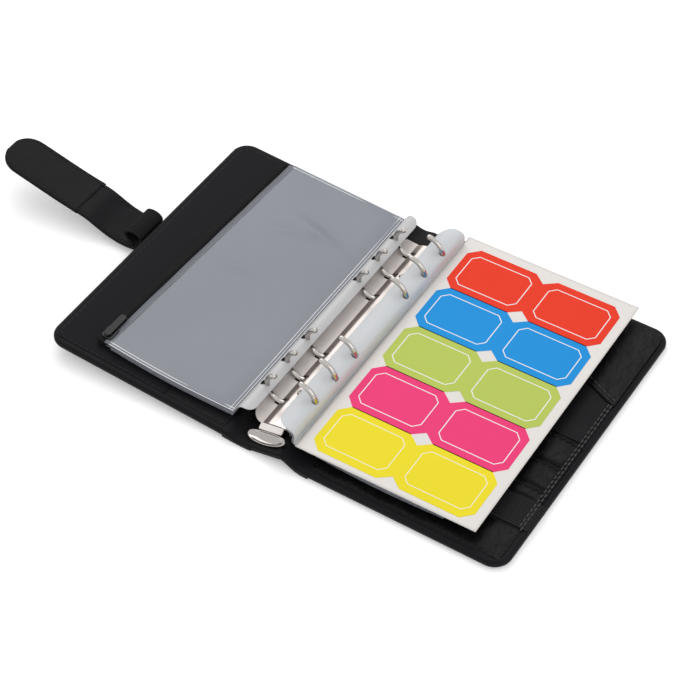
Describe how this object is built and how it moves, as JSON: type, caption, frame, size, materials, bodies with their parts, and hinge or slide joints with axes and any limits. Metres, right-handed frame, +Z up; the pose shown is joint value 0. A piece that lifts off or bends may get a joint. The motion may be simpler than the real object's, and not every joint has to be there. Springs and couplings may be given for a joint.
{
  "type": "ring binder",
  "caption": "Soft-covered six-ring binder lying open, with a strap, pen loop, inner pockets, zip pouches and a sheet of blank labels.",
  "frame": {"origin": "middle of the bottom of the bounding box, binder lying open on its outside", "axes": "+X across the open covers from the strap to the front cover's outer edge, +Y along the spine, +Z up off the table"},
  "size_m": [0.3766, 0.1862, 0.0299],
  "materials": {
    "front_skin_mat": "fine grain",
    "front_board_mat": "matte card",
    "front_lining_mat": "smooth lining",
    "front_keeper_mat": "plain steel",
    "front_curved_pocket_mat": "smooth lining",
    "front_card_slots_mat": "smooth lining",
    "front_elastic_band_mat": "ribbed elastic",
    "front_hinge_leather_mat": "fine grain",
    "spine_skin_mat": "fine grain",
    "spine_board_mat": "matte card",
    "spine_lining_mat": "smooth lining",
    "ring_plate_mat": "nickel plated",
    "plate_rivet_1_mat": "polished nickel",
    "plate_rivet_2_mat": "polished nickel",
    "back_hinge_leather_mat": "fine grain",
    "back_skin_mat": "fine grain",
    "back_board_mat": "matte card",
    "back_lining_mat": "smooth lining",
    "back_slip_pocket_mat": "smooth lining",
    "strap_root_mat": "fine grain",
    "pen_loop_mat": "ribbed elastic",
    "left_ring_half_mat": "polished nickel",
    "right_ring_half_mat": "polished nickel",
    "end_lever_mat": "polished nickel",
    "left_lower_strip_mat": "milky film",
    "left_upper_strip_mat": "milky film",
    "right_lower_strip_mat": "milky film",
    "right_middle_strip_mat": "milky film",
    "right_upper_strip_mat": "milky film",
    "left_lower_pouch_back_film_mat": "clear film",
    "left_lower_pouch_front_film_mat": "clear film",
    "left_lower_pouch_zip_mat": "woven tape",
    "left_upper_pouch_back_film_mat": "clear film",
    "left_upper_pouch_front_film_mat": "clear film",
    "left_upper_pouch_zip_mat": "woven tape",
    "left_lower_pouch_slider_mat": "black enamel",
    "left_upper_pouch_slider_mat": "black enamel",
    "left_upper_pouch_pull_mat": "black enamel",
    "right_lower_pouch_back_film_mat": "clear film",
    "right_lower_pouch_front_film_mat": "clear film",
    "right_lower_pouch_zip_mat": "woven tape",
    "right_middle_pouch_back_film_mat": "clear film",
    "right_middle_pouch_front_film_mat": "clear film",
    "right_middle_pouch_zip_mat": "woven tape",
    "right_upper_pouch_back_film_mat": "clear film",
    "right_upper_pouch_front_film_mat": "clear film",
    "right_upper_pouch_zip_mat": "woven tape",
    "right_lower_pouch_slider_mat": "black enamel",
    "right_middle_pouch_slider_mat": "black enamel",
    "right_upper_pouch_slider_mat": "black enamel",
    "label_backing_mat": "matte paper",
    "red_labels_mat": "coated paper",
    "blue_labels_mat": "coated paper",
    "green_labels_mat": "coated paper",
    "pink_labels_mat": "coated paper",
    "yellow_labels_mat": "coated paper",
    "strap_middle_mat": "fine grain",
    "strap_end_mat": "fine grain"
  },
  "bodies": {
    "front_cover": {"front_skin": "front_skin_mat", "front_board": "front_board_mat", "front_lining": "front_lining_mat", "front_keeper": "front_keeper_mat", "front_curved_pocket": "front_curved_pocket_mat", "front_card_slots": "front_card_slots_mat", "front_elastic_band": "front_elastic_band_mat", "front_hinge_leather": "front_hinge_leather_mat"},
    "spine": {"spine_skin": "spine_skin_mat", "spine_board": "spine_board_mat", "spine_lining": "spine_lining_mat", "ring_plate": "ring_plate_mat", "plate_rivet_1": "plate_rivet_1_mat", "plate_rivet_2": "plate_rivet_2_mat", "back_hinge_leather": "back_hinge_leather_mat"},
    "back_cover": {"back_skin": "back_skin_mat", "back_board": "back_board_mat", "back_lining": "back_lining_mat", "back_slip_pocket": "back_slip_pocket_mat", "strap_root": "strap_root_mat", "pen_loop": "pen_loop_mat"},
    "left_rings": {"left_ring_half": "left_ring_half_mat"},
    "right_rings": {"right_ring_half": "right_ring_half_mat"},
    "ring_lever": {"end_lever": "end_lever_mat"},
    "left_strips": {"left_lower_strip": "left_lower_strip_mat", "left_upper_strip": "left_upper_strip_mat"},
    "right_strips": {"right_lower_strip": "right_lower_strip_mat", "right_middle_strip": "right_middle_strip_mat", "right_upper_strip": "right_upper_strip_mat"},
    "left_stack": {"left_lower_pouch_back_film": "left_lower_pouch_back_film_mat", "left_lower_pouch_front_film": "left_lower_pouch_front_film_mat", "left_lower_pouch_zip": "left_lower_pouch_zip_mat"},
    "left_page": {"left_upper_pouch_back_film": "left_upper_pouch_back_film_mat", "left_upper_pouch_front_film": "left_upper_pouch_front_film_mat", "left_upper_pouch_zip": "left_upper_pouch_zip_mat"},
    "left_lower_slider": {"left_lower_pouch_slider": "left_lower_pouch_slider_mat"},
    "left_upper_slider": {"left_upper_pouch_slider": "left_upper_pouch_slider_mat"},
    "left_upper_pull": {"left_upper_pouch_pull": "left_upper_pouch_pull_mat"},
    "right_stack": {"right_lower_pouch_back_film": "right_lower_pouch_back_film_mat", "right_lower_pouch_front_film": "right_lower_pouch_front_film_mat", "right_lower_pouch_zip": "right_lower_pouch_zip_mat", "right_middle_pouch_back_film": "right_middle_pouch_back_film_mat", "right_middle_pouch_front_film": "right_middle_pouch_front_film_mat", "right_middle_pouch_zip": "right_middle_pouch_zip_mat", "right_upper_pouch_back_film": "right_upper_pouch_back_film_mat", "right_upper_pouch_front_film": "right_upper_pouch_front_film_mat", "right_upper_pouch_zip": "right_upper_pouch_zip_mat"},
    "right_lower_slider": {"right_lower_pouch_slider": "right_lower_pouch_slider_mat"},
    "right_middle_slider": {"right_middle_pouch_slider": "right_middle_pouch_slider_mat"},
    "right_upper_slider": {"right_upper_pouch_slider": "right_upper_pouch_slider_mat"},
    "label_sheet": {"label_backing": "label_backing_mat", "red_labels": "red_labels_mat", "blue_labels": "blue_labels_mat", "green_labels": "green_labels_mat", "pink_labels": "pink_labels_mat", "yellow_labels": "yellow_labels_mat"},
    "strap_middle": {"strap_middle": "strap_middle_mat"},
    "strap_end": {"strap_end": "strap_end_mat"}
  },
  "joints": [
    {"name": "front_hinge", "type": "hinge", "parent": "front_cover", "child": "spine", "pos_m": [0.06955, -0.00059, 0.0023], "axis": [0, 1, 0], "range_deg": [0, 101.9], "deforming": ["front_hinge_leather"]},
    {"name": "back_hinge", "type": "hinge", "parent": "spine", "child": "back_cover", "pos_m": [0.02895, -0.00059, 0.0023], "axis": [0, 1, 0], "range_deg": [0, 74.36], "deforming": ["back_hinge_leather"]},
    {"name": "left_ring", "type": "hinge", "parent": "spine", "child": "left_rings", "pos_m": [0.04002, -0.00059, 0.00616], "axis": [0, 1, 0], "range_deg": [0, 20.6]},
    {"name": "right_ring", "type": "hinge", "parent": "spine", "child": "right_rings", "pos_m": [0.05568, -0.00059, 0.00946], "axis": [0, -1, 0], "range_deg": [0, 20.6]},
    {"name": "lever_turn", "type": "hinge", "parent": "spine", "child": "ring_lever", "pos_m": [0.04727, -0.07989, 0.01055], "axis": [-0.9785, 0, -0.2062], "range_deg": [0, 25]},
    {"name": "left_strip_bend", "type": "hinge", "parent": "left_rings", "child": "left_strips", "pos_m": [0.03115, -0.00059, 0.015], "axis": [0, -1, 0], "range_deg": [0, 20.6], "deforming": ["left_lower_strip", "left_upper_strip"]},
    {"name": "right_strip_bend", "type": "hinge", "parent": "right_rings", "child": "right_strips", "pos_m": [0.06045, -0.00059, 0.018], "axis": [0, 1, 0], "range_deg": [0, 20.6], "deforming": ["right_lower_strip", "right_middle_strip", "right_upper_strip"]},
    {"name": "left_stack_turn", "type": "hinge", "parent": "left_strips", "child": "left_stack", "pos_m": [0.03755, -0.00059, 0.0121], "axis": [0, 1, 0], "range_deg": [0, 74.36]},
    {"name": "right_stack_turn", "type": "hinge", "parent": "right_strips", "child": "right_stack", "pos_m": [0.0561, -0.00059, 0.0132], "axis": [0, -1, 0], "range_deg": [0, 101.9]},
    {"name": "left_page_turn", "type": "hinge", "parent": "left_stack", "child": "left_page", "pos_m": [0.02313, -0.00059, 0.00927], "axis": [0, -1, 0], "range_deg": [-60, 0]},
    {"name": "left_lower_slider_run", "type": "slide", "parent": "left_stack", "child": "left_lower_slider", "axis": [0, 1, 0], "range_m": [0, 0.15]},
    {"name": "left_upper_slider_run", "type": "slide", "parent": "left_page", "child": "left_upper_slider", "axis": [0, 1, 0], "range_m": [0, 0.15]},
    {"name": "right_lower_slider_run", "type": "slide", "parent": "right_stack", "child": "right_lower_slider", "axis": [0, 1, 0], "range_m": [0, 0.15]},
    {"name": "right_middle_slider_run", "type": "slide", "parent": "right_stack", "child": "right_middle_slider", "axis": [0, 1, 0], "range_m": [0, 0.15]},
    {"name": "right_upper_slider_run", "type": "slide", "parent": "right_stack", "child": "right_upper_slider", "axis": [0, 1, 0], "range_m": [0, 0.15]},
    {"name": "pull_turn", "type": "hinge", "parent": "left_upper_slider", "child": "left_upper_pull", "pos_m": [-0.06027, -0.07819, 0.01582], "axis": [-1, 0, 0], "range_deg": [-90, 0]},
    {"name": "label_sheet_out", "type": "slide", "parent": "right_stack", "child": "label_sheet", "axis": [1, 0, 0], "range_m": [0, 0.13]},
    {"name": "strap_hinge", "type": "hinge", "parent": "back_cover", "child": "strap_middle", "pos_m": [-0.10448, 0.00471, 0.0045], "axis": [0, 1, 0], "range_deg": [0, 90]},
    {"name": "strap_fold", "type": "hinge", "parent": "strap_middle", "child": "strap_end", "pos_m": [-0.15348, 0.00471, 0.0185], "axis": [0, 1, 0], "range_deg": [0, 80]}
  ],
  "couplings": [
    {"joint": "right_ring", "follows": "left_ring", "ratio": 1},
    {"joint": "lever_turn", "follows": "left_ring", "ratio": 1.2135},
    {"joint": "left_strip_bend", "follows": "left_ring", "ratio": 1},
    {"joint": "right_strip_bend", "follows": "left_ring", "ratio": 1},
    {"joint": "left_stack_turn", "follows": "back_hinge", "ratio": 1},
    {"joint": "right_stack_turn", "follows": "front_hinge", "ratio": 1},
    {"joint": "label_sheet_out", "follows": "front_hinge", "m_per_rad": 0.073}
  ]
}
